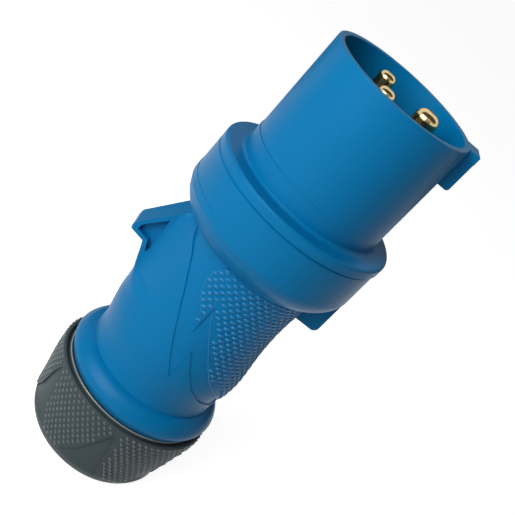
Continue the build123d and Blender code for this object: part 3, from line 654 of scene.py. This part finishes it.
class PLUG_OT_studio(bpy.types.Operator):
    """Build the floor, backdrop light, lamps and camera"""
    bl_idname = "plug.studio"
    bl_label = "Studio"

    def seen_as_background(self, tree):
        """1 for the camera's, mirrored and passed rays, which show the background; 0 for light."""
        path = add_node(tree, "ShaderNodeLightPath")
        seen = add_node(tree, "ShaderNodeMath", {"operation": "MAXIMUM"},
                        links={0: path.outputs["Is Camera Ray"], 1: path.outputs["Is Glossy Ray"]})
        both = add_node(tree, "ShaderNodeMath", {"operation": "MAXIMUM"},
                        links={0: seen.outputs["Value"], 1: path.outputs["Is Transmission Ray"]})
        return both.outputs["Value"]

    def execute(self, context):
        scene = context.scene
        studio = scene.plug_studio
        scene.view_settings.view_transform = "Standard"

        # Camera at the photograph's viewpoint; it is rolled, so the plug leans in the picture
        camera = bpy.data.objects.new("camera", bpy.data.cameras.new("camera"))
        camera.data.lens = studio.lens
        camera.data.sensor_width = 36.0
        camera.data.clip_start = 0.01
        right = Vector((0.7699, 0.1381, 0.6231)).normalized()
        back = Vector((-0.1710, -0.8959, 0.4099)).normalized()
        up = back.cross(right).normalized()
        turn = Matrix((right, up, back)).transposed().to_4x4()
        camera.matrix_world = Matrix.Translation(studio.camera_place) @ turn
        scene.collection.objects.link(camera)
        scene.camera = camera

        # Floor: matt and pale, and lit a little from within for the rays that show it as white
        bpy.ops.object.select_all(action="DESELECT")
        bpy.ops.mesh.primitive_circle_add(vertices=64, radius=3.0, fill_type="NGON",
                                          location=(0, 0, -0.0002))
        floor = context.object
        floor.name = "floor"
        material, tree, point = start_material("matt_white_floor")
        cloud = add_node(tree, "ShaderNodeTexNoise", inputs={"Scale": 0.01},
                         links={"Vector": point})
        tone = add_node(tree, "ShaderNodeMapRange", inputs={"To Min": 0.63, "To Max": 0.67},
                        links={"Value": cloud.outputs["Fac"]})
        matt = add_node(tree, "ShaderNodeBsdfDiffuse", links={"Color": tone.outputs["Result"]})
        lift = add_node(tree, "ShaderNodeMath", {"operation": "MULTIPLY"}, {1: studio.floor_lift},
                        {0: self.seen_as_background(tree)})
        glow = add_node(tree, "ShaderNodeEmission", links={"Strength": lift.outputs["Value"]})
        both = add_node(tree, "ShaderNodeAddShader",
                        links={0: matt.outputs["BSDF"], 1: glow.outputs["Emission"]})
        add_node(tree, "ShaderNodeOutputMaterial", links={"Surface": both.outputs["Shader"]})
        floor.data.materials.append(material)

        # World: white to the eye and in reflections, a plain even fill on the object
        world = bpy.data.worlds.new("studio_world")
        world.use_nodes = True
        tree = world.node_tree
        tree.nodes.clear()
        level = add_node(tree, "ShaderNodeMapRange", inputs={"To Min": studio.fill, "To Max": 1.0},
                         links={"Value": self.seen_as_background(tree)})
        light = add_node(tree, "ShaderNodeBackground", inputs={"Color": (1.0, 1.0, 1.0, 1.0)},
                         links={"Strength": level.outputs["Result"]})
        add_node(tree, "ShaderNodeOutputWorld", links={"Surface": light.outputs["Background"]})
        scene.world = world

        # Dark grey cards in front, overhead and behind, seen only in reflections, as in a studio
        material, tree, point = start_material("dark_grey_card")
        nap = add_node(tree, "ShaderNodeTexNoise", inputs={"Scale": 0.01}, links={"Vector": point})
        tone = add_node(tree, "ShaderNodeMapRange", inputs={"To Min": 0.05, "To Max": 0.08},
                        links={"Value": nap.outputs["Fac"]})
        glow = add_node(tree, "ShaderNodeEmission", links={"Strength": tone.outputs["Result"]})
        add_node(tree, "ShaderNodeOutputMaterial", links={"Surface": glow.outputs["Emission"]})
        for name, toward, distance, width, height in (
                ("card_front", (-0.065, -0.896, 0.41), 0.95, 1.3, 0.9),
                ("card_overhead", (0.0, -0.1, 1.0), 0.75, 2.2, 0.8),
                ("card_behind", (0.15, 0.9, -0.18), 0.36, 1.1, 0.5)):
            bpy.ops.object.select_all(action="DESELECT")
            bpy.ops.mesh.primitive_plane_add(size=1.0, location=(0, 0, 0))
            card = context.object
            card.name = name
            bpy.ops.transform.resize(value=(width, height, 1.0))
            bpy.ops.object.transform_apply(location=True, rotation=True, scale=True)
            facing = Vector(toward).normalized()
            card.matrix_world = (Matrix.Translation(facing * distance + Vector((0, 0, 0.07)))
                                 @ facing.to_track_quat("Z", "Y").to_matrix().to_4x4())
            card.visible_camera = False
            card.visible_diffuse = False
            card.visible_shadow = False
            card.visible_transmission = False
            card.data.materials.append(material)

        # Lamps: one large soft key from the upper left of the picture and a weak one in front
        middle = Vector((0, 0, 0.07))
        for name, toward, distance, size, power in (
                ("key", (-0.62, -0.64, 0.48), 0.55, 0.40, studio.key_power),
                ("front", (-0.1, -0.85, 0.6), 0.7, 0.5, studio.key_power * 0.1)):
            lamp = bpy.data.objects.new(name, bpy.data.lights.new(name, "AREA"))
            lamp.data.size = size
            lamp.data.energy = power
            direction = Vector(toward).normalized()
            lamp.matrix_world = (Matrix.Translation(middle + direction * distance)
                                 @ direction.to_track_quat("Z", "Y").to_matrix().to_4x4())
            scene.collection.objects.link(lamp)
        return {"FINISHED"}


class PLUG_PT_sidebar(bpy.types.Panel):
    """Lists the plug's pieces in the sidebar"""
    bl_idname = "PLUG_PT_sidebar"
    bl_label = "Industrial plug"
    bl_space_type = "VIEW_3D"
    bl_region_type = "UI"
    bl_category = "Plug"

    def draw(self, context):
        for group in ("plug_finish", "plug_studs", "plug_studio"):
            settings = getattr(context.scene, group)
            for name in settings.__annotations__:
                self.layout.prop(settings, name)
        for operator in OPERATORS:
            self.layout.operator(operator.bl_idname)


OPERATORS = (PLUG_OT_blue_mouldings, PLUG_OT_gland_nut, PLUG_OT_contacts, PLUG_OT_inner_parts,
             PLUG_OT_nose_fairing, PLUG_OT_grip_studs, PLUG_OT_field_edges, PLUG_OT_nut_studs,
             PLUG_OT_studio)
CLASSES = (PlugFinish, StudSizes, StudioSettings) + OPERATORS + (PLUG_PT_sidebar,)


def register():
    for cls in CLASSES:
        bpy.utils.register_class(cls)
    bpy.types.Scene.plug_finish = PointerProperty(type=PlugFinish)
    bpy.types.Scene.plug_studs = PointerProperty(type=StudSizes)
    bpy.types.Scene.plug_studio = PointerProperty(type=StudioSettings)


def unregister():
    del bpy.types.Scene.plug_studio
    del bpy.types.Scene.plug_studs
    del bpy.types.Scene.plug_finish
    for cls in reversed(CLASSES):
        bpy.utils.unregister_class(cls)


def main():
    register()
    bpy.ops.plug.blue_mouldings()
    bpy.ops.plug.gland_nut()
    bpy.ops.plug.contacts()
    bpy.ops.plug.inner_parts()
    bpy.ops.plug.nose_fairing()
    bpy.ops.plug.grip_studs()
    bpy.ops.plug.field_edges()
    bpy.ops.plug.nut_studs()
    bpy.ops.plug.studio()


if __name__ == "__main__":
    main()
